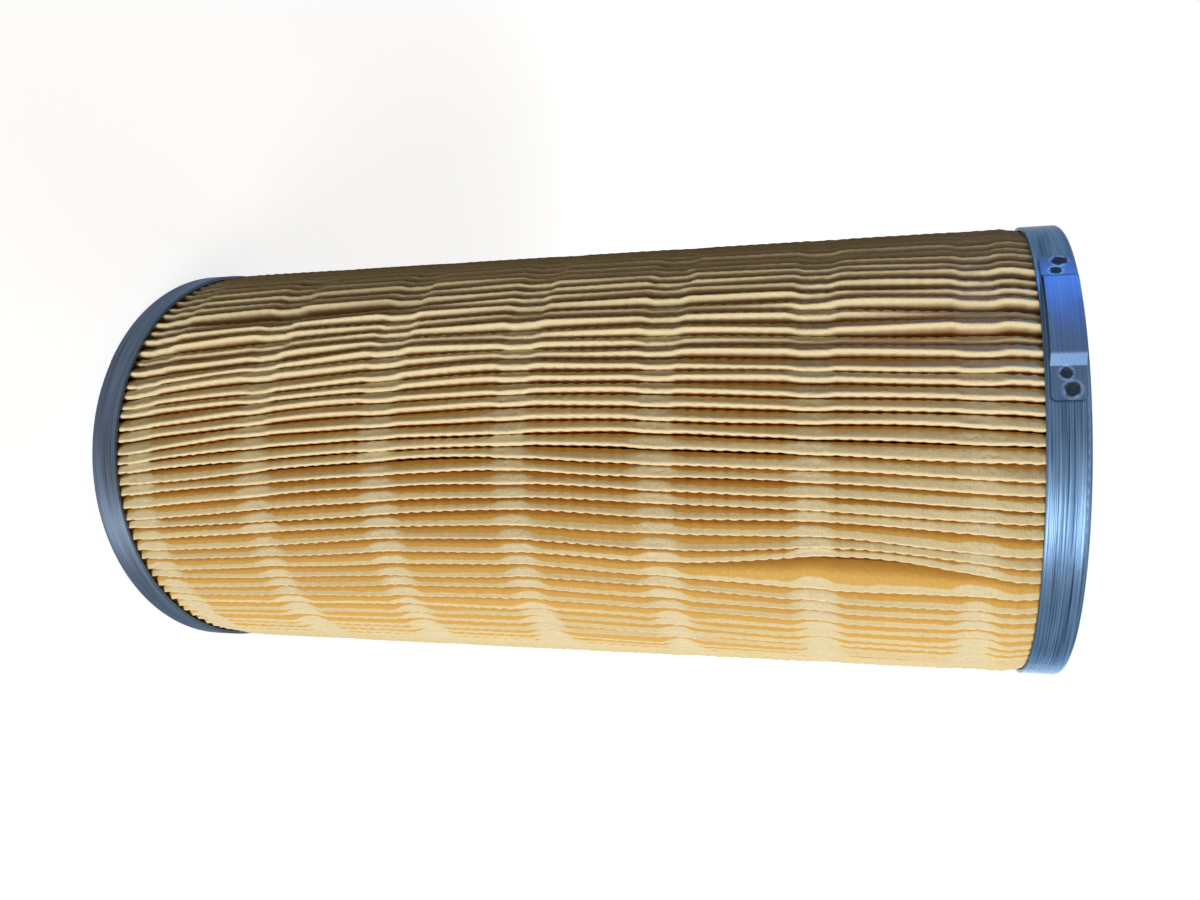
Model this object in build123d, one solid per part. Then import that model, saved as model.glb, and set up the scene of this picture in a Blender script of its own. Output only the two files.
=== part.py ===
from build123d import *
import os
from math import cos, degrees, radians, sin

# Coalescing filter element, standing on its end: a ring of pleated media round a
# perforated centre tube, bonded between two pressed steel end caps, with a flat
# gasket on each face and two welded strap loops on the upper cap for lifting it out.
# Millimetres, +Z along the element, origin at the middle of the lower gasket's face.

# Overall size
cap_diameter = 150.0
cap_to_cap_length = 324.0  # outside face of one cap to outside face of the other

# End caps, pressed from sheet
cap_sheet = 1.0
top_skirt_height = 11.6
bottom_skirt_height = 10.4
cap_bend_radius = 1.6  # outside of each bend
bore_diameter = 76.0  # inside the turned-in collar, where the standpipe passes
collar_height = 12.0
gasket_seat_depth = 1.2  # the face is pressed in where the gasket lies

# Gaskets
gasket_width = 15.0
gasket_thickness = 3.7
gasket_side_clearance = 0.5

# Adhesive that holds the media and tube in each cap
bed_depth = 3.8  # over the pressed seat
bed_clearance = 0.1

# Centre tube with round perforations in staggered rows
tube_sheet = 1.2
tube_fit_clearance = 0.3  # tube over the caps' collars
perforation_diameter = 9.0
perforations_per_row = 8
perforation_row_pitch = 36.0
perforation_end_margin = 26.0  # bare tube at each end before the first row

# Coalescing sleeve wrapped on the tube
sleeve_thickness = 3.0
layer_clearance = 0.3  # between tube, sleeve and pleats

# Pleated media
pleat_count = 112
media_thickness = 0.6
tip_clearance = 0.4  # pleat tips inside the skirts
tip_width = 2.4
tip_rounding = 0.6
root_gap = 0.4  # open width at the foot of each valley

# Strap loops on the upper cap
strap_sheet = 0.9
strap_width = 9.2
strap_below_face = 1.2
strap_bridge_length = 25.0
strap_ramp_length = 2.9
strap_foot_length = 9.4
strap_bridge_clearance = 2.5  # open under the bridge
strap_corner_radius = 1.5
strap_bend_radius = 0.7  # inside of each bend
weld_clearance = 0.1

# Spot welds, two on each foot of a strap loop
weld_dent_depth = 0.25
near_weld_diameter = 3.0
near_weld_margin = 2.0  # from the bend at the ramp to the weld's centre
near_weld_offset = -0.6  # from the middle of the strip's width, up
far_weld_diameter = 3.8
far_weld_margin = 2.9  # from the foot's free end to the weld's centre
far_weld_offset = 0.8
loop_angles = {"lift_loop_front": -90.0, "lift_loop_rear": 90.0}

# Radii and levels that follow from the sizes above
cap_radius = cap_diameter / 2
bore_radius = bore_diameter / 2
collar_radius = bore_radius + cap_sheet
skirt_inner_radius = cap_radius - cap_sheet
gasket_inner_radius = collar_radius + gasket_side_clearance
gasket_outer_radius = gasket_inner_radius + gasket_width
seat_outer_radius = gasket_outer_radius + gasket_side_clearance
tube_inner_radius = collar_radius + tube_fit_clearance
tube_outer_radius = tube_inner_radius + tube_sheet
sleeve_inner_radius = tube_outer_radius + layer_clearance
sleeve_outer_radius = sleeve_inner_radius + sleeve_thickness
root_radius = sleeve_outer_radius + layer_clearance
tip_radius = skirt_inner_radius - tip_clearance

face_inset = gasket_thickness - gasket_seat_depth  # gasket stands this proud of the cap
bottom_face = face_inset
top_face = bottom_face + cap_to_cap_length
bed_top = gasket_seat_depth + cap_sheet + bed_depth  # above a cap's outside face
pack_bottom = bottom_face + bed_top
pack_length = cap_to_cap_length - 2 * bed_top


def turned(outline):
    """A solid of revolution about Z from a sketch of radius against height."""
    return revolve(Plane.XZ * outline, axis=Axis.Z)


def rounded(outline, corners, radius):
    """The sketch with the named corners filleted."""
    chosen = [outline.vertices().sort_by_distance((x, y, 0))[0] for x, y in corners]
    return fillet(chosen, radius)


def tube(inner_radius, outer_radius, bottom, height):
    wall = Circle(outer_radius) - Circle(inner_radius)
    return Pos(0, 0, bottom) * extrude(wall, amount=height)


def upper_end(piece):
    """A lower piece turned over to the other end of the element."""
    return Pos(0, 0, bottom_face + top_face) * mirror(piece, about=Plane.XY)


def end_cap(skirt_height):
    """Lower cap: skirt, flat rim, pressed gasket seat and turned-in collar."""
    seat_level = gasket_seat_depth
    seat_step = seat_outer_radius + cap_sheet
    outside = [
        (cap_radius, skirt_height),
        (cap_radius, 0),
        (seat_outer_radius, 0),
        (seat_outer_radius, seat_level),
        (bore_radius, seat_level),
        (bore_radius, collar_height),
    ]
    inside = [
        (collar_radius, collar_height),
        (collar_radius, seat_level + cap_sheet),
        (seat_step, seat_level + cap_sheet),
        (seat_step, cap_sheet),
        (skirt_inner_radius, cap_sheet),
        (skirt_inner_radius, skirt_height),
    ]
    section = make_face(Polyline(*outside, *inside, close=True))
    section = rounded(section, [outside[1], outside[4]], cap_bend_radius)
    section = rounded(section, [inside[1], inside[4]], cap_bend_radius - cap_sheet)
    return Pos(0, 0, bottom_face) * turned(section)


def adhesive_bed():
    """Adhesive poured in the lower cap, level on top, following the pressed seat."""
    inner = collar_radius + bed_clearance
    outer = skirt_inner_radius - bed_clearance
    floor = cap_sheet + bed_clearance
    step = seat_outer_radius + cap_sheet + bed_clearance
    section = make_face(
        Polyline(
            (inner, bed_top),
            (inner, gasket_seat_depth + floor),
            (step, gasket_seat_depth + floor),
            (step, floor),
            (outer, floor),
            (outer, bed_top),
            close=True,
        )
    )
    corners = [(inner, gasket_seat_depth + floor), (outer, floor)]
    section = rounded(section, corners, cap_bend_radius - cap_sheet)
    return Pos(0, 0, bottom_face) * turned(section)


def gasket():
    return tube(gasket_inner_radius, gasket_outer_radius, 0, gasket_thickness)


def center_tube():
    """Perforated tube that carries the pack, standing between the two beds."""
    wall = tube(tube_inner_radius, tube_outer_radius, pack_bottom, pack_length)
    rows = int((pack_length - 2 * perforation_end_margin) // perforation_row_pitch) + 1
    first = pack_bottom + (pack_length - (rows - 1) * perforation_row_pitch) / 2
    step = 360 / perforations_per_row
    reach = tube_outer_radius + tube_sheet
    from_axis = (Align.CENTER, Align.CENTER, Align.MIN)
    punch = Rot(0, 90, 0) * Cylinder(perforation_diameter / 2, reach, align=from_axis)
    punches = []
    for row in range(rows):
        for hole in range(perforations_per_row):
            around = (hole + row % 2 / 2) * step
            punches.append(Pos(0, 0, first + row * perforation_row_pitch) * Rot(0, 0, around) * punch)
    return wall - punches


def coalescing_sleeve():
    return tube(sleeve_inner_radius, sleeve_outer_radius, pack_bottom, pack_length)


def beside(radius, across, around):
    """The point across mm beside the ray at angle around, radius mm out along it."""
    ray = radians(around)
    return (radius * cos(ray) - across * sin(ray), radius * sin(ray) + across * cos(ray))


def pleated_media():
    """One sheet folded into radial pleats and joined into a ring."""
    pitch = 360 / pleat_count
    half_tip = tip_width / 2
    half_gap = root_gap / 2
    shoulder = tip_radius - tip_rounding
    outer, inner = [], []
    for pleat in range(pleat_count):
        tip = pleat * pitch
        root = tip + pitch / 2
        outer += [
            beside(shoulder, -half_tip, tip),
            beside(tip_radius, tip_rounding - half_tip, tip),
            beside(tip_radius, half_tip - tip_rounding, tip),
            beside(shoulder, half_tip, tip),
            beside(root_radius + media_thickness, -half_gap, root),
            beside(root_radius + media_thickness, half_gap, root),
        ]
        inner += [
            beside(tip_radius - media_thickness, media_thickness - half_tip, tip),
            beside(tip_radius - media_thickness, half_tip - media_thickness, tip),
            beside(root_radius, -half_gap - media_thickness, root),
            beside(root_radius, half_gap + media_thickness, root),
        ]
    section = make_face(Polyline(*outer, close=True)) - make_face(Polyline(*inner, close=True))
    return Pos(0, 0, pack_bottom) * extrude(section, amount=pack_length)


def on_ray(radius, around):
    """The point at that radius on the ray at angle around, in degrees."""
    return (radius * cos(radians(around)), radius * sin(radians(around)))


def weld_dents(foot_outer, near_angle, far_angle):
    """Tool for the round dents of the spot welds on both feet of a loop."""
    dents = []
    for diameter, offset, angle in (
        (near_weld_diameter, near_weld_offset, near_angle),
        (far_weld_diameter, far_weld_offset, far_angle),
    ):
        ball = ((diameter / 2) ** 2 + weld_dent_depth**2) / (2 * weld_dent_depth)
        for side in (-angle, angle):
            x, y = on_ray(foot_outer - weld_dent_depth + ball, side)
            dents.append(Pos(x, y, strap_width / 2 + offset) * Sphere(ball))
    return dents


def strap_loop(around):
    """Strip bent into a low bridge, its two feet spot welded to the upper skirt."""
    foot_inner = cap_radius + weld_clearance
    foot_outer = foot_inner + strap_sheet
    bridge_inner = cap_radius + strap_bridge_clearance
    bridge_outer = bridge_inner + strap_sheet
    bridge_half = degrees(strap_bridge_length / 2 / cap_radius)
    ramp_end = bridge_half + degrees(strap_ramp_length / cap_radius)
    foot_end = ramp_end + degrees(strap_foot_length / cap_radius)

    def side(foot, bridge):
        low = CenterArc((0, 0), foot, -foot_end, foot_end - ramp_end)
        top = CenterArc((0, 0), bridge, -bridge_half, 2 * bridge_half)
        high = CenterArc((0, 0), foot, ramp_end, foot_end - ramp_end)
        return [low, Line(low @ 1, top @ 0), top, Line(top @ 1, high @ 0), high]

    def bends(radius, angle):
        return [on_ray(radius, angle), on_ray(radius, -angle)]

    under = side(foot_inner, bridge_inner)
    over = side(foot_outer, bridge_outer)
    ends = [Line(under[0] @ 0, over[0] @ 0), Line(under[-1] @ 1, over[-1] @ 1)]
    profile = make_face(under + over + ends)
    inside_bends = bends(foot_outer, ramp_end) + bends(bridge_inner, bridge_half)
    outside_bends = bends(foot_inner, ramp_end) + bends(bridge_outer, bridge_half)
    profile = rounded(profile, inside_bends, strap_bend_radius)
    profile = rounded(profile, outside_bends, strap_bend_radius + strap_sheet)
    strip = extrude(profile, amount=strap_width)
    corners = [e for e in strip.edges() if abs(e.length - strap_sheet) < strap_sheet / 100]
    strip = fillet(corners, strap_corner_radius)
    near_weld = ramp_end + degrees(near_weld_margin / cap_radius)
    far_weld = foot_end - degrees(far_weld_margin / cap_radius)
    strip -= weld_dents(foot_outer, near_weld, far_weld)
    level = top_face - strap_below_face - strap_width
    return Pos(0, 0, level) * Rot(0, 0, around) * strip


nodes = {
    "pleated_media": pleated_media(),
    "coalescing_sleeve": coalescing_sleeve(),
    "center_tube": center_tube(),
    "bottom_end_cap": end_cap(bottom_skirt_height),
    "top_end_cap": upper_end(end_cap(top_skirt_height)),
    "bottom_adhesive_bed": adhesive_bed(),
    "top_adhesive_bed": upper_end(adhesive_bed()),
    "bottom_gasket": gasket(),
    "top_gasket": upper_end(gasket()),
}
for name, angle in loop_angles.items():
    nodes[name] = strap_loop(angle)

os.makedirs("parts", exist_ok=True)
for name, solid in nodes.items():
    export_step(solid, f"parts/{name}.step")
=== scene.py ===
import math
import bmesh
import bpy
from mathutils import Matrix, Vector


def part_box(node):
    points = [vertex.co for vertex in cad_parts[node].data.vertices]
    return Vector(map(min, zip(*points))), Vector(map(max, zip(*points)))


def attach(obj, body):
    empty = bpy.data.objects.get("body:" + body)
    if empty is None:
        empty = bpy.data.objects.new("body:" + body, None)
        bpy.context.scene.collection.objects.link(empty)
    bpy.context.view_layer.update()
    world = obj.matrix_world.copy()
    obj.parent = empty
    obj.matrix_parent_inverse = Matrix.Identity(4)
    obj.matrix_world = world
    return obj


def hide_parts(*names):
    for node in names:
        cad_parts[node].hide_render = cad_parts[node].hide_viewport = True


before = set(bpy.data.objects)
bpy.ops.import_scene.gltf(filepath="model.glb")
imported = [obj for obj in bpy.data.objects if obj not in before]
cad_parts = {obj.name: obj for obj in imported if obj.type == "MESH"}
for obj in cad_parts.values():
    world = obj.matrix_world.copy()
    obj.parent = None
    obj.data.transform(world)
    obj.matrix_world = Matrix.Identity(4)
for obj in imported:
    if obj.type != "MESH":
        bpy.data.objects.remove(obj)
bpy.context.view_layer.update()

mm = 0.001
radian = math.pi / 180
scene = bpy.context.scene

# places that everything else is set out from, all read from the frame
capLow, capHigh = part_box("bottom_end_cap")[0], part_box("top_end_cap")[1]
packLow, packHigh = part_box("pleated_media")
capRadius = capHigh.x
midHeight = (capLow.z + capHigh.z) / 2
facingAngle = -61.0  # polar angle of the side that the photographer faced, in degrees


def polar(radius, degrees, height):
    turn = math.radians(degrees)
    return Vector((radius * math.cos(turn), radius * math.sin(turn), height))


# the camera is held on its side, so the standing element lies across the picture
view = {
    "distance": 4.424,  # from the element's axis, in cap radii
    "rise": 1.508,  # above the middle of the element, in cap radii
    "lens": 27.13,
    "sensor": 36.0,
    "shift": (-0.0640, 0.0091),
    "clip": (0.01, 50),
    # the picture's axes for a photographer on the -Y side, turned to the facing angle later
    "right": (0.0059, 0.2417, 0.9703),
    "up": (-0.9999, 0.0103, 0.0035),
    "backward": (-0.0092, -0.9703, 0.2417),
}


def addCamera():
    cameraData = bpy.data.cameras.new("camera")
    cameraData.sensor_width = view["sensor"]
    cameraData.lens = view["lens"]
    cameraData.shift_x, cameraData.shift_y = view["shift"]
    cameraData.clip_start, cameraData.clip_end = view["clip"]
    camera = bpy.data.objects.new("camera", cameraData)
    scene.collection.objects.link(camera)
    turn = Matrix.Rotation(math.radians(facingAngle + 90), 4, "Z")
    axes = Matrix((view["right"], view["up"], view["backward"])).transposed().to_4x4()
    place = polar(view["distance"] * capRadius, facingAngle, midHeight + view["rise"] * capRadius)
    camera.matrix_world = Matrix.Translation(place) @ turn @ axes
    scene.camera = camera
    print("camera set")


# soft studio: the key lamp low in the picture with a faint one under it, a fill beside the
# camera and one lamp behind; two narrow beams tint the strap blue and the paper beside it violet
warmWhite = (1.0, 0.97, 0.92)
lamps = {
    "keyLamp": {
        "angle": -24.5, "distance": 1.2, "rise": 0.0, "size": 0.45,
        "watts": 13.4, "colour": warmWhite,
    },
    "lowLamp": {
        "angle": -2.0, "distance": 1.2, "rise": 0.0, "size": 0.5,
        "watts": 0.5, "colour": warmWhite,
    },
    "fillLamp": {
        "angle": -44.0, "distance": 1.4, "rise": 0.0, "size": 0.7,
        "watts": 3.3, "colour": (1.0, 0.88, 0.72),
    },
    "backLamp": {
        "angle": 88.0, "distance": 1.5, "rise": 0.3, "size": 1.0,
        "watts": 6.0, "colour": (1.0, 1.0, 1.0),
    },
    "blueLamp": {
        "angle": -138.0, "distance": 0.4, "rise": 0.22, "size": 0.024,
        "watts": 0.0006, "colour": (0.02, 0.34, 1.0),
        "beam": 3.0, "aim": polar(0.077, -92.0, midHeight + 0.157),
    },
    "duskLamp": {
        "angle": -138.0, "distance": 0.4, "rise": 0.22, "size": 0.05,
        "watts": 0.0016, "colour": (0.22, 0.28, 1.0),
        "beam": 12.0, "aim": polar(0.077, -100.0, midHeight + 0.13),
    },
}
studio = {
    "skyLight": 0.068,
    "skyColour": (1.0, 0.84, 0.66, 1),
    "floorReach": 6.0,
    "floorColour": (0.8, 0.8, 0.8, 1),
    "floorGlow": 0.8,
    "glowRises": (0.2, 0.8),  # distances from the element between which it rises to full white
    "floorTone": (0.26, 0.2, 0.14, 1),  # what the floor throws back on the element
}


def addLamp(name, given):
    lampData = bpy.data.lights.new(name, "AREA")
    lampData.shape = "SQUARE"
    lampData.size = given["size"]
    lampData.energy = given["watts"]
    lampData.color = given["colour"]
    lampData.spread = math.radians(given.get("beam", 180.0))
    lamp = bpy.data.objects.new(name, lampData)
    scene.collection.objects.link(lamp)
    place = polar(given["distance"], given["angle"], midHeight + given["rise"])
    lamp.location = place
    lamp.rotation_mode = "QUATERNION"
    aim = given.get("aim", Vector((0, 0, midHeight)))
    lamp.rotation_quaternion = (aim - place).to_track_quat("-Z", "Y")


def newMaterial(name):
    material = bpy.data.materials.new(name)
    material.use_nodes = True
    material.node_tree.nodes.clear()
    return material, material.node_tree


def addNode(tree, kind, inputs=None, **settings):
    # each input, by name or number, takes a value, a Field or another node's socket
    node = tree.nodes.new(kind)
    for key, value in settings.items():
        setattr(node, key, value)
    for key, value in (inputs or {}).items():
        if isinstance(value, Field):
            value = value.socket
        if isinstance(value, bpy.types.NodeSocket):
            tree.links.new(value, node.inputs[key])
        else:
            node.inputs[key].default_value = value
    return node


def seenDirectly(tree):
    # 1 for camera and glossy rays and for what shows through glass, which all see a white studio
    path = addNode(tree, "ShaderNodeLightPath")
    camera, glossy, through, scattered = (
        Field(tree, path.outputs[name])
        for name in ("Is Camera Ray", "Is Glossy Ray", "Is Transmission Ray", "Is Diffuse Ray")
    )
    return camera.step("MAXIMUM", glossy).step("MAXIMUM", through - scattered)


def addStudio():
    for name, given in lamps.items():
        addLamp(name, given)
    world = bpy.data.worlds.new("studio")
    scene.world = world
    world.use_nodes = True
    tree = world.node_tree
    tree.nodes.clear()
    sky = {"Strength": studio["skyLight"], "Color": studio["skyColour"]}
    dim = addNode(tree, "ShaderNodeBackground", sky)
    white = addNode(tree, "ShaderNodeBackground", {"Color": (1, 1, 1, 1)})
    both = {0: seenDirectly(tree), 1: dim.outputs[0], 2: white.outputs[0]}
    mix = addNode(tree, "ShaderNodeMixShader", both)
    addNode(tree, "ShaderNodeOutputWorld", {0: mix.outputs[0]})
    addFloor()
    scene.view_settings.view_transform = "Standard"
    print("studio set")


def addFloor():
    reach = studio["floorReach"]
    mesh = bpy.data.meshes.new("floor")
    corners = [(-reach, -reach, 0), (reach, -reach, 0), (reach, reach, 0), (-reach, reach, 0)]
    mesh.from_pydata(corners, [], [(0, 1, 2, 3)])
    floor = bpy.data.objects.new("floor", mesh)
    scene.collection.objects.link(floor)
    material, tree = newMaterial("paleFloor")
    # the glow rises to full white away from the element, so no horizon shows
    place = addNode(tree, "ShaderNodeTexCoord").outputs["Object"]
    away = addNode(tree, "ShaderNodeVectorMath", {0: place}, operation="LENGTH")
    fade = Field(tree, away.outputs["Value"]).ramp(*studio["glowRises"])
    fade = fade * (1.0 - studio["floorGlow"]) + studio["floorGlow"]
    glow = addNode(tree, "ShaderNodeEmission", {"Strength": fade})
    matte = addNode(tree, "ShaderNodeBsdfDiffuse", {"Color": studio["floorColour"]})
    bright = addNode(tree, "ShaderNodeAddShader", {0: glow.outputs[0], 1: matte.outputs[0]})
    plain = addNode(tree, "ShaderNodeBsdfDiffuse", {"Color": studio["floorTone"]})
    both = {0: seenDirectly(tree), 1: plain.outputs[0], 2: bright.outputs[0]}
    finishMaterial(tree, addNode(tree, "ShaderNodeMixShader", both))
    mesh.materials.append(material)


def finishMaterial(tree, shader):
    addNode(tree, "ShaderNodeOutputMaterial", {0: shader.outputs[0]})


class Field:
    # a node socket that can be used in ordinary arithmetic

    def __init__(self, tree, socket):
        self.tree = tree
        self.socket = socket

    def step(self, operation, *others):
        return calculated(self.tree, operation, self, *others)

    def __add__(self, other):
        return self.step("ADD", other)

    def __sub__(self, other):
        return self.step("SUBTRACT", other)

    def __rsub__(self, other):
        return calculated(self.tree, "SUBTRACT", other, self)

    def __mul__(self, other):
        return self.step("MULTIPLY", other)

    def __truediv__(self, other):
        return self.step("DIVIDE", other)

    def __pow__(self, other):
        return self.step("POWER", other)

    __radd__ = __add__
    __rmul__ = __mul__

    def ramp(self, low, high):
        # rises smoothly from 0 at low to 1 at high
        inputs = {"Value": self, "From Min": low, "From Max": high}
        node = addNode(self.tree, "ShaderNodeMapRange", inputs, interpolation_type="SMOOTHSTEP")
        return Field(self.tree, node.outputs["Result"])


def calculated(tree, operation, *values):
    node = addNode(tree, "ShaderNodeMath", dict(enumerate(values)), operation=operation)
    return Field(tree, node.outputs[0])


def choose(test, whenZero, whenOne):
    return whenZero + (whenOne - whenZero) * test


def within(field, limits):
    # rises to 1 between the first two limits and falls again between the other two
    rise, fall = limits
    return field.ramp(*rise) * (1 - field.ramp(*fall))


def growing(field, limits):
    # grows from 0 to its amount while the field passes from the first limit to the second
    low, high, amount = limits
    return field.ramp(low, high) * amount


def bell(offset, otherOffset=0.0):
    # 1 where both offsets are 0, and fading to 0 on every side of it
    square = offset * offset + otherOffset * otherOffset
    return (square * -1.0).step("EXPONENT")


def noiseField(tree, vector, scale, detail, distortion=0.0):
    inputs = {"Vector": vector, "Scale": scale, "Detail": detail, "Distortion": distortion}
    return Field(tree, addNode(tree, "ShaderNodeTexNoise", inputs).outputs[0])


noiseReach = 2.6  # stretches the noise, once it is centred on 0, to about -1 to 1


def drift(along, across, seed, detail=1.0):
    # slow, smooth noise over two fields
    place = addNode(along.tree, "ShaderNodeCombineXYZ", {0: along, 1: across, 2: seed})
    return (noiseField(along.tree, place.outputs[0], 1.0, detail) - 0.5) * noiseReach


# the folded paper: sizes in metres unless mm is said, angles in degrees; a fold's facing is how
# far it faces up the picture from the side in view, and its underside is that turned round
paper = {
    "pleats": 112,
    "pieces": 7,  # the ring is made in parts, each one closed mesh
    "stations": 237,  # rows of points along the fold, three to a corrugation
    "seed": 7.0,
    # outline of one fold from the valley before it to the valley after: depth under the tip, mm
    "depths": [0.0, 11.0, 3.0, 1.9, 1.15, 0.62, 0.22, 0.02, 0.0, 0.22, 1.3, 3.6, 0.0],
    # and the place beside its middle, in half widths
    "spans": [0.0, -1.0, -1.02, -1.05, -1.0, -0.55, -0.1, 0.28, 0.48, 0.74, 1.03, 0.86, 0.0],
    # share of the gap to the next fold that the sloping side reaches across
    "reaches": [0.0, 0.4, 0.78, 0.32, 0.0, 0.0, 0.0, 0.0, 0.0, 0.0, 0.0, 0.0, 0.0],
    # how far from the crown, which is bare, to the flanks, which are steeped in resin and carry a
    # painted glow of light through the sheet
    "flanks": [4.0, 3.0, 2.0, 1.0, 0.2, 0.0, 0.0, 0.0, 0.0, 0.0, 0.05, 0.7, 4.0],
    "backColumns": 3,  # columns up the hidden inside of one fold
    "backDepth": 3,  # its top lies this many sheets under the tip
    "hiddenDepth": 30,  # mm, what the material takes for the depth there
    "mergeDistance": 1e-7,

    "sheet": 0.6 * mm,
    "tipWidth": 2.5 * mm,
    "rootGap": 0.4 * mm,
    "gapClearance": 0.5 * mm,
    "sleeveClearance": 0.3 * mm,
    "swell": 1.1 * mm,  # the folds stand out a little further between the caps
    "swellEnds": (0.014, 0.04),  # shares of the length over which the swell sets in
    "slimmer": 0.7,  # share by which the folds narrow round the slim angle
    "slimAngle": -47.0,
    "slimReach": 36.0,
    "flatter": 0.5,  # and by which their slope is flatter there

    # where on the outline each part of it lies, by span and by depth
    "slopeSpan": (-0.2, 0.1),
    "slopeDepth": (1.5 * mm, 3 * mm),
    "faceSpan": (0.3, 0.6),
    "faceDepth": (2.0 * mm, 3.5 * mm),
    "creaseSpan": (0.1, 0.4),
    "creaseDepth": (1.4 * mm, 2.4 * mm),
    "sideSpan": (0.1, 0.8),
    "tipDepth": (1.5 * mm, 8 * mm),

    # how steep the slope and the face are from fold to fold, as factors on the outline's depth
    "slopeUneven": 0.7,
    "slopeLeast": 0.2,
    "slopePressed": 0.3,  # mm deeper in the crushed bands
    "faceSteep": 1.15,
    "faceSteepSlim": 0.45,  # less, round the slim angle
    "faceSteepPressed": 0.3,  # less, in the crushed bands
    "faceSteepLeast": 0.25,
    "wrinkleFold": (5.3, 0.45),  # change of the small wrinkles per fold and per column
    "wrinkleLength": (0.5, 0.3),  # and per mm of length and per column
    "wrinkleSeed": 47,
    "wrinkleHeight": (0.07, 0.28),  # mm, and as much more where the fold is pressed

    # the folds aren't equally high, least so where the light comes from above them
    "lowMean": 0.6,  # mm
    "lowMore": 3.4,  # mm
    "lowFacing": ((10, 32), (42, 62)),
    "edgeOn": ((58, 72), (100, 115)),  # at the picture's edges, where height would show as steps
    "edgeOnPress": 0.85,

    # fine corrugation of the sheet
    "ripplePitch": 3.95 * mm,
    "rippleHeight": 0.19 * mm,
    "rippleShift": 0.12,
    "rippleShare": 0.95,
    "rippleUneven": 0.7,
    "rippleLeast": 0.15,
    "ripplePressed": 0.6,
    "rippleOutward": 0.6,

    # seven crushed bands
    "bandPitch": 46.4 * mm,
    "bandOffset": -5.0 * mm,
    "bandHalfWidth": 5.4 * mm,
    "bandNarrower": 0.2,
    "bandFade": (2.0, 2.4),  # mm to the inner and the outer side of its edge
    "bandFadeSlim": 2.0,
    "bandDepth": 1.0 * mm,
    "bandSpread": 0.95 * mm,
    "bandPress": 0.82,
    "spreadOffSlope": 0.35,

    # the folds bow towards both caps, most at one angle each
    "bowLow": 8.9,
    "bowLowAngle": 18,
    "bowLowFocus": 7,
    "bowHigh": 7.1,
    "bowHighAngle": -40,
    "bowHighFocus": 3,
    "bowLowPower": 1.6,
    "bowHighPower": 1.1,
    "bowPowerAbove": (15, 50, 1.4),
    "rootBow": 0.6,  # share of the bow and of the parting that the roots follow

    # one wide gap near the upper cap, and the folds past it that settle back
    "parting": 5.2,
    "partingAngle": -23.0,
    "partingHeight": 101.0 * mm,
    "partingReach": 36.0 * mm,
    "partingFade": 9.0,
    "settling": 1.0,
    "settlingHeight": 86.0 * mm,
    "settlingFade": 45.0,

    # near the upper cap the folds lie over and nearly close
    "leaning": 0.5,
    "leaningHeight": 128.0 * mm,
    "leaningReach": 38.0 * mm,
    "leaningAngle": -2,
    "leaningSpan": 24,

    "wander": 0.65,
    "lean": 1.0,
    "spreading": 7.0,  # the folds are spaced wider under the middle of the view
    "spreadingUnder": ((0.0, 62.0), (75.0, 172.0)),
    "rootSpreading": 0.8,

    # how far the pressed bands show bare paper, not resin; then painted light: how much paler the
    # bands, and all folds, are painted where they face up or down the view, as the light falls
    # there
    "bareLeast": 0.4,
    "bandPaintedLightAbove": (-12, 16, 0.4),
    "bandPaintedLightBelow": (42, 66, 1.2),
    "paintedLightAbove": (-8, 14, 0.7),
    "paintedLightBelow": (54, 74, 0.8),
    "toneMean": 0.5,
}

# slow noise in the paper: change per fold, change per mm along it (per band for the first two),
# seed beside the paper's own, and amount
drifts = {
    "bandPress": (0.9, 3.7, 0, 0.25),
    "bandEdge": (2.3, 5.1, 5, 1.0),
    "leaning": (1.1, 0.01, 9, 0.6),
    "ripple": (0.45, 0.03, 11, 1.0),
    "fatness": (1.7, 0.006, 23, 0.2),
    "low": (5.7, 0.005, 31, 1.0),
    "tilt": (1.3, 0.007, 41, 1.0),
    "tiltSlow": (0.37, 0.003, 43, 0.5),
    "steepness": (7.9, 0.006, 45, 1.5),
    "steepnessShort": (3.1, 0.05, 46, 0.35),
    "wander": (0.22, 0.009, 53, 1.0),
    "lean": (1.1, 0.012, 67, 1.0),
    "tone": (2.3, 0.004, 71, 0.5),
    "flank": (3.3, 0.16, 83, 0.2),
}

# inputs of the paper's tree that are taken straight from the dictionary
paperInputs = (
    "Pleats", "Stations", "Seed", "Sheet", "Tip Width", "Root Gap", "Gap Clearance", "Swell",
    "Slimmer", "Ripple Pitch", "Ripple Height", "Band Pitch", "Band Offset", "Band Half Width",
    "Band Depth", "Band Spread", "Bow Low", "Bow High", "Parting", "Settling", "Leaning",
    "Wander", "Lean", "Spreading",
)


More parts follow.
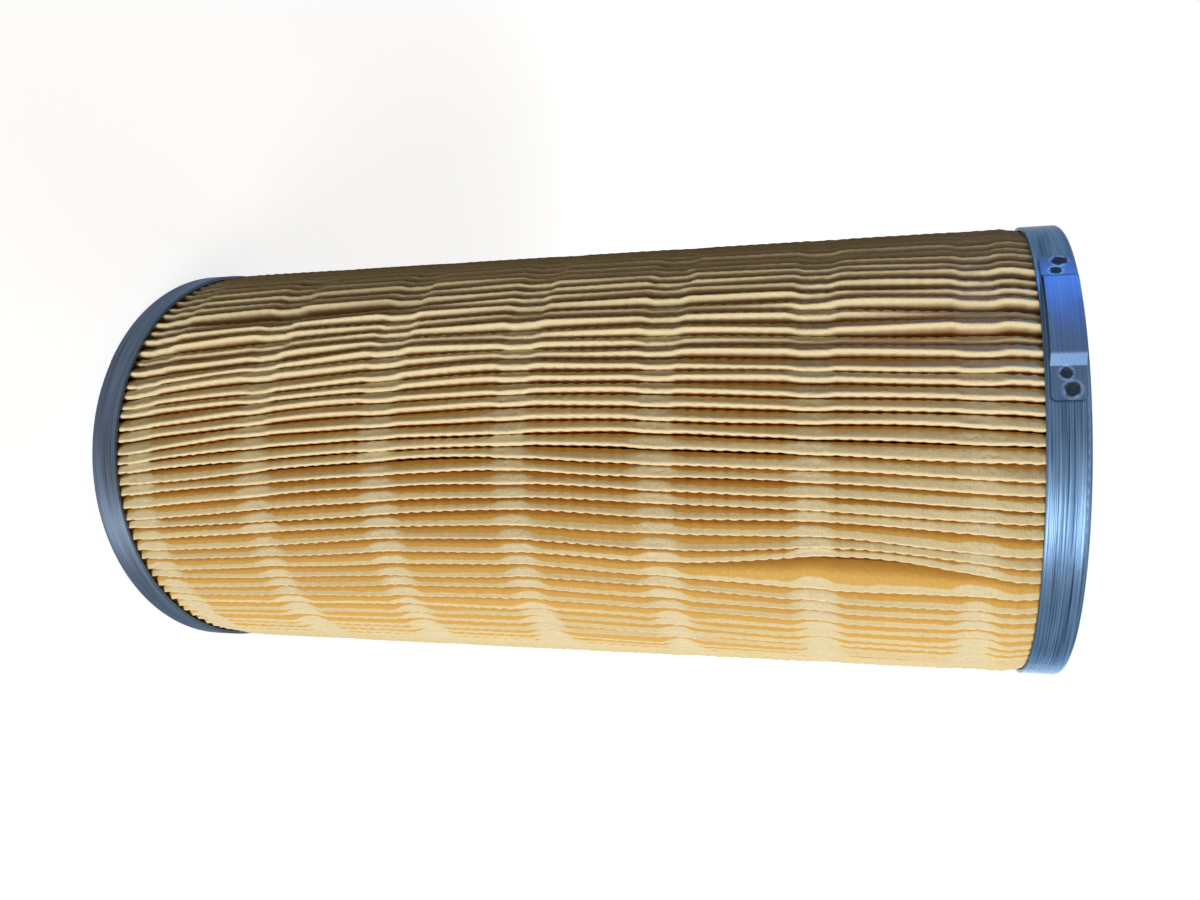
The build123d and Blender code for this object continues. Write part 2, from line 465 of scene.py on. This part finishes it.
def paperTree():
    tree = bpy.data.node_groups.new("pleatedPaper", "GeometryNodeTree")
    named = {
        "First Pleat": 0.0,
        "Pleats Here": paper["pleats"] / paper["pieces"],
        "Tip Radius": packHigh.x,
        "Root Radius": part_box("coalescing_sleeve")[1].x + paper["sleeveClearance"],
        "Bottom": packLow.z,
        "Height": packHigh.z - packLow.z,
    }
    for name in paperInputs:
        named[name] = float(paper[name[0].lower() + name[1:].replace(" ", "")])
    for name, value in named.items():
        socket = tree.interface.new_socket(name=name, in_out="INPUT", socket_type="NodeSocketFloat")
        socket.default_value = value
    tree.interface.new_socket(name="Material", in_out="INPUT", socket_type="NodeSocketMaterial")
    tree.interface.new_socket(name="Geometry", in_out="OUTPUT", socket_type="NodeSocketGeometry")
    groupIn = addNode(tree, "NodeGroupInput")
    given = {name: Field(tree, groupIn.outputs[name]) for name in named}

    perFold, perBack = len(paper["depths"]), paper["backColumns"]
    outside = given["Pleats Here"] * perFold
    allColumns = given["Pleats Here"] * (perFold + perBack)
    counts = {"Vertices X": allColumns + 1, "Vertices Y": given["Stations"]}
    grid = addNode(tree, "GeometryNodeMeshGrid", counts)

    # which column and station a point is on, and which fold it belongs to
    index = Field(tree, addNode(tree, "GeometryNodeInputIndex").outputs[0])
    column = ((index + 0.5) / given["Stations"]).step("FLOOR")
    station = index - column * given["Stations"]
    column = column.step("MODULO", allColumns)
    isBack = (column + 0.5).step("GREATER_THAN", outside)
    foldHere, foldPlace = splitColumn(column, perFold)
    backFold, backPlace = splitColumn(column - outside, perBack)
    pleat = given["First Pleat"] + choose(isBack, foldHere, given["Pleats Here"] - 1 - backFold)
    half = (perFold - 1) / 2
    fromCrown = foldPlace - half
    isRoot = (fromCrown.step("ABSOLUTE") + 0.5).step("GREATER_THAN", half)

    # where it is along the length, from 0 at the bottom to 1 at the top
    share = station / (given["Stations"] - 1)
    height = given["Bottom"] + given["Height"] * share
    alongMm = height / mm

    # which way the fold faces, and how far it strays from its ray and from the next fold
    ray, facing = foldRay(pleat)
    bowed, opened, wider, stray = straying(given, pleat, facing, height)
    nextRay, nextFacing = foldRay(pleat - 1)
    nextBowed, nextOpened, nextWider, nextStray = straying(given, pleat - 1, nextFacing, height)
    toNext = ray + bowed - opened + wider + stray
    toNext = toNext - (nextRay + nextBowed - nextOpened + nextWider + nextStray)
    slim = bell((facing - paper["slimAngle"]) / paper["slimReach"])

    crush = pressed(given, pleat, facing, height, slim)
    ripple = corrugated(given, pleat, height, crush)

    # the outline of one fold: a face with a sharp crease on one side and a slope on the other
    deep = indexSwitch(foldPlace, [value * mm for value in paper["depths"]])
    span = indexSwitch(foldPlace, paper["spans"])
    reach = indexSwitch(foldPlace, paper["reaches"])
    onSlope = (1 - span.ramp(*paper["slopeSpan"])) * (1 - deep.ramp(*paper["slopeDepth"]))
    onFace = span.ramp(*paper["faceSpan"]) * (1 - deep.ramp(*paper["faceDepth"]))
    onCrease = span.ramp(*paper["creaseSpan"]) * (1 - deep.ramp(*paper["creaseDepth"]))
    tilt = varied(given, "tilt", pleat, alongMm) + varied(given, "tiltSlow", pleat, alongMm)
    slope = 1 + (tilt * paper["slopeUneven"] - slim * paper["flatter"]) * onSlope
    slope = slope.step("MAXIMUM", paper["slopeLeast"])
    steep = varied(given, "steepness", pleat, alongMm) + paper["faceSteep"]
    steep = steep - slim * paper["faceSteepSlim"] - crush * paper["faceSteepPressed"]
    steep = steep + varied(given, "steepnessShort", pleat, alongMm)
    steep = steep.step("MAXIMUM", paper["faceSteepLeast"])
    deep = deep * choose(onFace, slope, steep) + crush * onSlope * paper["slopePressed"] * mm

    # how far out the tip stands
    edgeOn = within(facing.step("ABSOLUTE"), paper["edgeOn"])
    low = varied(given, "low", pleat, alongMm).step("ABSOLUTE")
    low = low * (paper["lowMean"] + within(facing, paper["lowFacing"]) * paper["lowMore"])
    low = low * (1 - edgeOn) * mm
    free = (0.5 - (share - 0.5).step("ABSOLUTE")).ramp(*paper["swellEnds"])
    pressedIn = crush * given["Band Depth"] * (1 - edgeOn * paper["edgeOnPress"])
    tipRadius = given["Tip Radius"] + given["Swell"] * free - low - pressedIn
    rootRadius = given["Root Radius"]
    fullDepth = tipRadius - rootRadius

    # the visible side of the sheet, out from the axis and across the fold
    rootHalf = rootRadius * math.pi / given["Pleats"] - given["Root Gap"] / 2
    fatness = 1 + varied(given, "fatness", pleat, alongMm)
    halfTip = given["Tip Width"] / 2 * fatness * (1 - slim * given["Slimmer"])
    spread = crush * given["Band Spread"] * choose(onSlope, paper["spreadOffSlope"], 1)
    taper = deep / fullDepth
    nearTip = 1 - deep.ramp(*paper["tipDepth"])
    sides = span.step("ABSOLUTE").ramp(*paper["sideSpan"])
    aside = rootHalf * taper + (ripple + spread) * nearTip * sides
    gap = toNext * radian * tipRadius - halfTip * 2 - given["Gap Clearance"] - spread
    bridged = gap.step("MAXIMUM", 0.0) * reach
    outAcross = halfTip * span * (1 - taper) + aside * span.step("SIGN") - bridged
    outAcross = choose(isRoot, outAcross, rootHalf * fromCrown.step("SIGN"))
    perFoldChange, perColumnChange = paper["wrinkleFold"]
    perMmChange, otherColumnChange = paper["wrinkleLength"]
    wrinkle = drift(
        pleat * perFoldChange + foldPlace * perColumnChange,
        alongMm * perMmChange + foldPlace * otherColumnChange,
        given["Seed"] + paper["wrinkleSeed"],
    )
    wrinkle = wrinkle * (paper["wrinkleHeight"][0] + crush * paper["wrinkleHeight"][1]) * mm
    outRadius = tipRadius - deep + (ripple * paper["rippleOutward"] + wrinkle) * nearTip
    outRadius = choose(isRoot, outRadius, rootRadius + given["Sheet"])

    # and the hidden side, up one flank and down the other
    backSide = 1 - backPlace
    backTip = 1 - backSide.step("ABSOLUTE")
    backRadius = choose(backTip, rootRadius, tipRadius - given["Sheet"] * paper["backDepth"])
    backAcross = (rootHalf - given["Sheet"]) * (1 - backTip) * backSide
    radius = choose(isBack, outRadius, backRadius)
    across = choose(isBack, outAcross, backAcross)

    tipness = (radius - rootRadius) / fullDepth
    turned = ray + (bowed - opened) * choose(tipness, paper["rootBow"], 1)
    turned = turned + wider * choose(tipness, paper["rootSpreading"], 1) + stray * tipness
    turned = turned * radian
    cosine, sine = turned.step("COSINE"), turned.step("SINE")
    place = addNode(tree, "ShaderNodeCombineXYZ", {
        0: radius * cosine - across * sine,
        1: radius * sine + across * cosine,
        2: height,
    })

    # what the paper's material reads
    depthMm = choose(isRoot, deep, fullDepth) / mm
    kept = {
        "foldDepth": choose(isBack, depthMm, paper["hiddenDepth"]),
        "crush": crush,
        "tone": varied(given, "tone", pleat, alongMm) + paper["toneMean"],
        "hiddenSide": isBack,
        "crease": onCrease * (1 - isRoot) * (1 - isBack),
        "flank": resinAndGlowReach(given, pleat, facing, foldPlace, isBack, alongMm, crush),
    }
    geometry = grid.outputs["Mesh"]
    for name, field in kept.items():
        inputs = {"Geometry": geometry, "Name": name, "Value": field}
        store = addNode(tree, "GeometryNodeStoreNamedAttribute", inputs,
                        data_type="FLOAT", domain="POINT")
        geometry = store.outputs["Geometry"]
    for kind, inputs in (
        ("GeometryNodeSetPosition", {"Position": place.outputs[0]}),
        ("GeometryNodeMergeByDistance", {"Distance": paper["mergeDistance"]}),
        ("GeometryNodeSetShadeSmooth", {}),
        ("GeometryNodeRealizeInstances", {}),
        ("GeometryNodeSetMaterial", {"Material": groupIn.outputs["Material"]}),
    ):
        geometry = addNode(tree, kind, {"Geometry": geometry, **inputs}).outputs[0]
    addNode(tree, "NodeGroupOutput", {"Geometry": geometry})
    return tree


def splitColumn(column, width):
    # which fold a column belongs to, and which of that fold's columns it is
    fold = ((column + 0.5) / width).step("FLOOR")
    return fold, column - fold * width


def foldRay(pleat):
    # its own angle, and how far that is up the picture from the side in view
    ray = pleat * (360.0 / paper["pleats"])
    return ray, (facingAngle - ray + 900.0).step("FLOORED_MODULO", 360.0) - 180.0


def varied(given, name, pleat, along):
    perFold, perStep, seed, amount = drifts[name]
    return drift(pleat * perFold, along * perStep, given["Seed"] + seed) * amount


def straying(given, pleat, facing, height):
    # the angles by which a fold leaves its own ray at this height: first the bow
    fromMiddle = (height - midHeight) / ((packHigh.z - packLow.z) / 2)
    isHigh = fromMiddle.step("GREATER_THAN", 0.0)
    lowBow = focused(facing, paper["bowLowAngle"], paper["bowLowFocus"]) * given["Bow Low"]
    highBow = focused(facing, paper["bowHighAngle"], paper["bowHighFocus"]) * given["Bow High"]
    highPower = paper["bowHighPower"] + growing(facing, paper["bowPowerAbove"])
    power = choose(isHigh, paper["bowLowPower"], highPower)
    bowed = choose(isHigh, lowBow, highBow) * fromMiddle.step("ABSOLUTE") ** power

    # the wide gap near the upper cap, closing again over the folds above it
    past = facing - paper["partingAngle"]
    nearParting = (height - midHeight - paper["partingHeight"]) / paper["partingReach"]
    fading = (past.step("MAXIMUM", 0.0) * (-1 / paper["partingFade"])).step("EXPONENT")
    opened = past.step("GREATER_THAN", 0.0) * fading * bell(nearParting) * given["Parting"]
    nearSettling = (height - midHeight - paper["settlingHeight"]) / paper["partingReach"]
    fading = (past.step("MINIMUM", 0.0) * (1 / paper["settlingFade"])).step("EXPONENT")
    settled = past.step("LESS_THAN", 0.0) * fading
    opened = opened - settled * bell(nearSettling) * given["Settling"]

    # and what is left to chance
    alongMm = height / mm
    stray = varied(given, "wander", pleat, alongMm) * given["Wander"]
    stray = stray + varied(given, "lean", pleat, alongMm) * given["Lean"]
    wider = within(facing * -1.0, paper["spreadingUnder"]) * given["Spreading"]
    return bowed, opened, wider, stray


def focused(facing, angle, focus):
    # 1 for a fold that faces this way, fading round the ring to 0 opposite it
    return ((facing - angle) * (radian / 2)).step("COSINE").step("ABSOLUTE") ** focus


def pressed(given, pleat, facing, height, slim):
    # the crushed bands, each fold pressed in a little more or less than the next
    toBand = (height - midHeight - given["Band Offset"]) / given["Band Pitch"]
    bandNumber = toBand.step("ROUND")
    toBand = (toBand - bandNumber).step("ABSOLUTE") * given["Band Pitch"]
    uneven = varied(given, "bandPress", pleat, bandNumber)
    edge = given["Band Half Width"] * (1 + uneven - slim * paper["bandNarrower"])
    toBand = toBand + varied(given, "bandEdge", pleat, bandNumber) * (1.0 + slim) * mm
    inner = edge - (slim + paper["bandFade"][0]) * mm
    outer = edge + (slim * paper["bandFadeSlim"] + paper["bandFade"][1]) * mm
    band = 1 - toBand.ramp(inner, outer)
    crush = band * (paper["bandPress"] + uneven)

    # and the folds that lie over near the upper cap
    laidAlong = (height - midHeight - paper["leaningHeight"]) / paper["leaningReach"]
    laidRound = (facing - paper["leaningAngle"]) / paper["leaningSpan"]
    laid = bell(laidAlong, laidRound) * given["Leaning"]
    return crush.step("MAXIMUM", laid * (1 + varied(given, "leaning", pleat, height / mm)))


def corrugated(given, pleat, height, crush):
    # waves along the fold, uneven from place to place and flatter where it is pressed
    swing = varied(given, "ripple", pleat, height / mm)
    wave = (height / given["Ripple Pitch"] + swing * paper["rippleShift"]) * (2 * math.pi)
    share = paper["rippleShare"] + swing * paper["rippleUneven"]
    share = share.step("MAXIMUM", paper["rippleLeast"])
    return wave.step("SINE") * given["Ripple Height"] * share * (1 - crush * paper["ripplePressed"])


def resinAndGlowReach(given, pleat, facing, foldPlace, isBack, alongMm, crush):
    # how far from the bare crown a point counts, less where the pressed bands show bare paper, and
    # less where a fold faces up or down the view, which is painted light
    flank = indexSwitch(foldPlace, paper["flanks"]) + isBack * paper["flanks"][0]
    flank = flank + varied(given, "flank", pleat, alongMm)
    underside = facing * -1.0
    # painted light: in the pressed bands, folds facing up or down the view are painted paler
    bare = growing(facing, paper["bandPaintedLightAbove"]) + growing(underside, paper["bandPaintedLightBelow"])
    flank = flank - crush * (bare + paper["bareLeast"])
    # painted light: folds facing up or down the view lose the orange and show paler, as the light
    # falls there
    return flank - growing(underside, paper["paintedLightBelow"]) - growing(facing, paper["paintedLightAbove"])


def indexSwitch(number, values):
    node = addNode(number.tree, "GeometryNodeIndexSwitch", data_type="FLOAT")
    while len(node.index_switch_items) < len(values):
        node.index_switch_items.new()
    number.tree.links.new(number.socket, node.inputs["Index"])
    for place, value in enumerate(values):
        node.inputs[place + 1].default_value = value
    return Field(number.tree, node.outputs[0])


def madeByNodes(name, tree, settings):
    # runs a geometry tree on an empty mesh and keeps the result as a plain mesh
    maker = bpy.data.objects.new(name + "Maker", bpy.data.meshes.new(name + "Maker"))
    scene.collection.objects.link(maker)
    modifier = maker.modifiers.new("made", "NODES")
    modifier.node_group = tree
    identifiers = {
        item.name: item.identifier
        for item in tree.interface.items_tree if item.in_out == "INPUT"
    }
    for key, value in settings.items():
        modifier[identifiers[key]] = value
    evaluated = maker.evaluated_get(bpy.context.evaluated_depsgraph_get())
    mesh = bpy.data.meshes.new_from_object(evaluated)
    mesh.name = name
    maker.modifiers.remove(modifier)
    bpy.data.objects.remove(maker)
    piece = bpy.data.objects.new(name, mesh)
    scene.collection.objects.link(piece)
    return piece


def closeEnds(piece):
    # fills the two cut ends of the folded sheet and turns its faces outwards
    work = bmesh.new()
    work.from_mesh(piece.data)
    openEdges = [edge for edge in work.edges if edge.is_boundary]
    bmesh.ops.holes_fill(work, edges=openEdges)
    bmesh.ops.recalc_face_normals(work, faces=work.faces)
    work.to_mesh(piece.data)
    work.free()


def addPaper(material):
    tree = paperTree()
    here = paper["pleats"] // paper["pieces"]
    for number in range(paper["pieces"]):
        name = f"pleated_media_{number + 1}"
        piece = madeByNodes(name, tree, {"First Pleat": float(number * here), "Material": material})
        closeEnds(piece)
        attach(piece, "root")
        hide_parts("pleated_media")
        print(name, len(piece.data.polygons), "faces")


# the paper's colours from the bare crown down into the fold, and its surface
paperLook = {
    "cream": (0.86, 0.75, 0.45, 1),
    "aged": (0.70, 0.60, 0.35, 1),
    "ageing": 0.6,
    "pressed": (0.80, 0.73, 0.50, 1),
    # painted highlight: a paler colour along the sharp creases, where the light catches their edge
    "pale": (0.90, 0.79, 0.52, 1),  # along the sharp creases
    # partly painted light: the flanks' orange is partly the resin's own colour and partly a painted
    # glow of the light that comes through the sheet
    "resinAndGlow": (0.75, 0.48, 0.14, 1),
    "resinAndGlowFrom": (0.25, 0.45),  # between these flank values
    # painted light: a brighter orange a little way into the fold, standing in for light bounced
    # between the folds and coming through the sheet
    "paintedDepthGlow": (0.98, 0.56, 0.12, 1),
    "paintedDepthGlowFrom": (0.8, 3.0),  # between these depths in mm
    # painted shade: dark red deeper in the fold, where the light hardly reaches
    "paintedDepthShade": (0.68, 0.24, 0.04, 1),
    "paintedDepthShadeFrom": (2.5, 6.0),
    "fibreScale": 1100.0,
    "fibreDetail": 3.0,
    "fibreStretch": (0.6, 0.6, 1.0),  # drawn out round the element
    "speckle": 0.22,
    "speckleBase": 0.89,
    "ribPitch": 0.8 * mm,
    "ribHeight": 0.05,
    "creaseScale": 380.0,
    "creaseDetail": 2.0,
    "creaseWarp": 1.2,
    "creaseHeight": 0.35,
    "creasePressed": 1.4,  # and as much more where the fold is pressed
    "roughness": 0.85,
    "relief": (0.55, 0.0004),  # strength, and height in metres
    "through": (0.95, 0.62, 0.22, 1),  # light that comes through the sheet
    "throughHidden": (1.0, 0.97, 0.92, 1),
    "throughFrom": (0.8, 2.5, 0.4),
    "throughLeast": 0.1,
    "throughMost": 0.9,
}


def paperMaterial():
    look = paperLook
    material, tree = newMaterial("filterPaper")
    depth, crush, tone, hidden, crease, flank = (
        Field(tree, addNode(tree, "ShaderNodeAttribute", attribute_name=name).outputs["Fac"])
        for name in ("foldDepth", "crush", "tone", "hiddenSide", "crease", "flank")
    )
    ridge = mixColour(tree, tone * look["ageing"], look["cream"], look["aged"])
    ridge = mixColour(tree, crush, ridge, look["pressed"])
    # painted highlight: the sharp creases are painted paler
    ridge = mixColour(tree, crease, ridge, look["pale"])
    # the flanks' orange: partly the resin's colour, partly painted glow of light through the sheet
    steepedAndGlowing = flank.ramp(*look["resinAndGlowFrom"])
    colour = mixColour(tree, steepedAndGlowing, ridge, look["resinAndGlow"])
    # painted light: brighter orange a little way into the fold
    colour = mixColour(tree, steepedAndGlowing * depth.ramp(*look["paintedDepthGlowFrom"]), colour, look["paintedDepthGlow"])
    # painted shade: darker red deeper in the fold
    colour = mixColour(tree, depth.ramp(*look["paintedDepthShadeFrom"]), colour, look["paintedDepthShade"])

    # fibres, and a fine rib embossed round the element
    place = addNode(tree, "ShaderNodeTexCoord").outputs["Object"]
    stretch = {0: place, 1: look["fibreStretch"]}
    stretched = addNode(tree, "ShaderNodeVectorMath", stretch, operation="MULTIPLY").outputs[0]
    split = addNode(tree, "ShaderNodeSeparateXYZ", {0: place})
    ribs = (Field(tree, split.outputs[2]) * (2 * math.pi / look["ribPitch"])).step("SINE")
    grain = noiseField(tree, stretched, look["fibreScale"], look["fibreDetail"])
    grain = grain + ribs * look["ribHeight"]
    speckle = grain * look["speckle"] + look["speckleBase"]
    # larger creases where the folds were pressed
    creases = noiseField(
        tree, place, look["creaseScale"], look["creaseDetail"], look["creaseWarp"])
    grain = grain + creases * (crush * look["creasePressed"] + look["creaseHeight"])
    surface = addNode(tree, "ShaderNodeBsdfPrincipled", {
        "Base Color": tinted(tree, colour, speckle),
        "Roughness": look["roughness"],
        "Specular IOR Level": 0.0,
    })
    addBump(tree, surface, grain, *look["relief"])

    throughColour = mixColour(tree, hidden, look["through"], look["throughHidden"])
    through = addNode(tree, "ShaderNodeBsdfTranslucent", {"Color": throughColour})
    amount = growing(depth, look["throughFrom"]) + look["throughLeast"]
    amount = choose(hidden, amount, look["throughMost"])
    both = {0: amount, 1: surface.outputs[0], 2: through.outputs[0]}
    finishMaterial(tree, addNode(tree, "ShaderNodeMixShader", both))
    return material


def addBump(tree, surface, height, strength, distance):
    bump = addNode(tree, "ShaderNodeBump", {
        "Strength": strength, "Distance": distance, "Height": height,
    })
    tree.links.new(bump.outputs[0], surface.inputs["Normal"])


def mixColour(tree, amount, first, second, blend="MIX"):
    inputs = {0: amount, 6: first, 7: second}
    node = addNode(tree, "ShaderNodeMix", data_type="RGBA", blend_type=blend, inputs=inputs)
    return node.outputs[2]


def tinted(tree, colour, amount):
    # the colour multiplied by a grey field
    grey = addNode(tree, "ShaderNodeCombineColor", {0: amount, 1: amount, 2: amount})
    return mixColour(tree, 1.0, colour, grey.outputs[0], "MULTIPLY")


# sheet steel with marks that run round the element: colours of the marks and of the metal
# between them, height of the marks, roughness, and how far it reflects like brushed metal
steels = {
    # the two caps are one steel in two tints: each cap's dark and light colours follow the shade
    # and highlights it shows, as painted reflection, the upper cap darker and bluer, the lower cap
    # grey with a bluer light colour
    "highCapSteel": {
        "dark": (0.01, 0.03, 0.065, 1), "light": (0.15, 0.25, 0.41, 1),
        "relief": 0.9, "roughness": 0.38, "brushed": 0.8,
    },
    "lowCapSteel": {
        "dark": (0.05, 0.055, 0.065, 1), "light": (0.14, 0.2, 0.3, 1),
        "relief": 0.4, "roughness": 0.45, "brushed": 0.8,
    },
    "strapSteel": {
        "dark": (0.05, 0.09, 0.165, 1), "light": (0.085, 0.145, 0.26, 1),
        "relief": 0.06, "roughness": 0.48, "brushed": 0.0,
    },
    "tubeSteel": {
        "dark": (0.05, 0.09, 0.165, 1), "light": (0.085, 0.145, 0.26, 1),
        "relief": 0.1, "roughness": 0.4, "brushed": 0.0,
    },
}
marking = {
    "glancingColour": (0.5, 0.6, 0.72, 1),
    "brushedTurn": 0.25,
    "reliefDistance": 0.0001,
    # noise: change round the element, per metre along it and per metre out, seed and detail
    "marks": (1.5, 2300.0, 2000.0, 3.0, 3.0),
    # painted reflection: large patches that darken and lighten the steel stand in for the darker
    # and lighter reflections round the caps; they also vary the roughness
    "mottleAndPaintedReflection": (2.2, 260.0, 0.0, 8.0, 2.0),
    "markShade": 0.75,
    "patchShade": 0.4,
    "shadeMean": 0.5,
    "markRough": 0.06,
    "patchRough": 0.03,
}

# the spot welds of one foot, as places measured from the element's axis
footRadius = 76.0 * mm
weldLevel = capHigh.z - 5.8 * mm
welds = [
    {"arc": 17.4 * mm, "level": weldLevel - 0.6 * mm, "radius": 1.75 * mm},
    {"arc": 21.9 * mm, "level": weldLevel + 0.8 * mm, "radius": 2.2 * mm},
]
weldLook = {
    "colour": (0.018, 0.022, 0.03, 1),
    "ringColour": (0.26, 0.38, 0.54, 1),
    "ringStrength": 0.5,
    "blotches": (700.0, 5.0, 3.0),  # scale, seed and detail of the noise
    "specks": (1800.0, 6.0, 1.0),
    "ragged": 0.28,  # how far the blotches move the edge, in weld radii
    "edge": (0.75, 1.0),
    "ring": ((0.9, 1.1), (1.15, 1.5)),
    "ringBlotch": 0.3,
    "ringBreaks": (-0.2, 0.6),
    "spotMean": 0.88,
    "spotSpecks": 0.25,
    "rougher": 0.2,
}


def steelMaterial(name, given, spots=()):
    material, tree = newMaterial(name)
    place = addNode(tree, "ShaderNodeTexCoord").outputs["Object"]
    split = addNode(tree, "ShaderNodeSeparateXYZ", {0: place})
    x, y, z = (Field(tree, split.outputs[number]) for number in range(3))
    turn = y.step("ARCTAN2", x)
    out = (x * x + y * y).step("SQRT")
    marks = steelNoise("marks", turn, z, out)
    # painted reflection in the colour, and a change in roughness
    mottleAndPaintedReflection = steelNoise("mottleAndPaintedReflection", turn, z, out)
    shade = marks * marking["markShade"] + mottleAndPaintedReflection * marking["patchShade"] + marking["shadeMean"]
    colour = mixColour(tree, shade, given["dark"], given["light"])
    rough = marks * marking["markRough"] + mottleAndPaintedReflection * marking["patchRough"] + given["roughness"]
    for weld in spots:
        colour, rough = welded(tree, weld, (x, y, z), colour, rough)
    surface = addNode(tree, "ShaderNodeBsdfPrincipled", {
        "Base Color": colour,
        "Roughness": rough,
        "Metallic": 1.0,
        "Anisotropic": given["brushed"],
        "Anisotropic Rotation": marking["brushedTurn"],
        "Specular Tint": marking["glancingColour"],
    })
    if given["brushed"]:
        around = addNode(tree, "ShaderNodeTangent", direction_type="RADIAL", axis="Z")
        tree.links.new(around.outputs[0], surface.inputs["Tangent"])
    addBump(tree, surface, marks, given["relief"], marking["reliefDistance"])
    finishMaterial(tree, surface)
    return material


def steelNoise(name, turn, height, out):
    perTurn, perHeight, perRadius, seed, detail = marking[name]
    return drift(turn * perTurn, height * perHeight + out * perRadius, seed, detail)


def welded(tree, weld, place, colour, rough):
    # both loops and both feet are alike, so one corner of the plan serves all four
    look = weldLook
    x, y, z = place
    swing = weld["arc"] / capRadius
    aside = x.step("ABSOLUTE") - footRadius * math.sin(swing)
    ahead = y.step("ABSOLUTE") - footRadius * math.cos(swing)
    above = z - weld["level"]
    away = (aside * aside + ahead * ahead + above * above).step("SQRT") / weld["radius"]
    scale, seed, detail = look["blotches"]
    blotch = drift(x * scale, z * scale, seed, detail)
    scale, seed, detail = look["specks"]
    specks = drift(x * scale, z * scale, seed, detail)
    away = away + blotch * look["ragged"]
    spot = (1 - away.ramp(*look["edge"])) * (look["spotMean"] + specks * look["spotSpecks"])
    broken = (blotch + look["ringBlotch"]).ramp(*look["ringBreaks"])
    ring = within(away, look["ring"]) * broken
    colour = mixColour(tree, ring * look["ringStrength"], colour, look["ringColour"])
    colour = mixColour(tree, spot, colour, look["colour"])
    return colour, rough + spot * look["rougher"]


# dull surfaces with a fine mottled grain: colour, roughness, scale of the grain, its relief
dullFinishes = {
    "glassFibre": ((0.85, 0.84, 0.78, 1), 0.95, 700.0, 0.8),
    "castAdhesive": ((0.20, 0.13, 0.07, 1), 0.35, 120.0, 0.2),
    "gasketRubber": ((0.035, 0.035, 0.037, 1), 0.6, 500.0, 0.3),
}
grainDetail = 4.0
grainDarkness = 0.7
grainHeight = 0.0003


def dullMaterial(name, colour, roughness, grain, relief):
    material, tree = newMaterial(name)
    place = addNode(tree, "ShaderNodeTexCoord").outputs["Object"]
    noise = noiseField(tree, place, grain, grainDetail)
    darker = tuple(value * grainDarkness for value in colour[:3]) + (1,)
    mixed = mixColour(tree, noise, darker, colour)
    surface = addNode(tree, "ShaderNodeBsdfPrincipled", {
        "Base Color": mixed, "Roughness": roughness,
    })
    addBump(tree, surface, noise, relief, grainHeight)
    finishMaterial(tree, surface)
    return material


# the shapes that stay as they are, and the finish of each
nodeFinishes = {
    "bottom_end_cap": "lowCapSteel",
    "top_end_cap": "highCapSteel",
    "lift_loop_front": "strapSteel",
    "lift_loop_rear": "strapSteel",
    "center_tube": "tubeSteel",
    "coalescing_sleeve": "glassFibre",
    "bottom_adhesive_bed": "castAdhesive",
    "top_adhesive_bed": "castAdhesive",
    "bottom_gasket": "gasketRubber",
    "top_gasket": "gasketRubber",
}


def dressCad():
    materials = {}
    for name, given in steels.items():
        spots = welds if name == "strapSteel" else ()
        materials[name] = steelMaterial(name, given, spots)
    for name, given in dullFinishes.items():
        materials[name] = dullMaterial(name, *given)
    for node, finish in nodeFinishes.items():
        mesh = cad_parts[node].data
        mesh.materials.clear()
        mesh.materials.append(materials[finish])
    print("cad nodes dressed")


addCamera()
addStudio()
addPaper(paperMaterial())
dressCad()
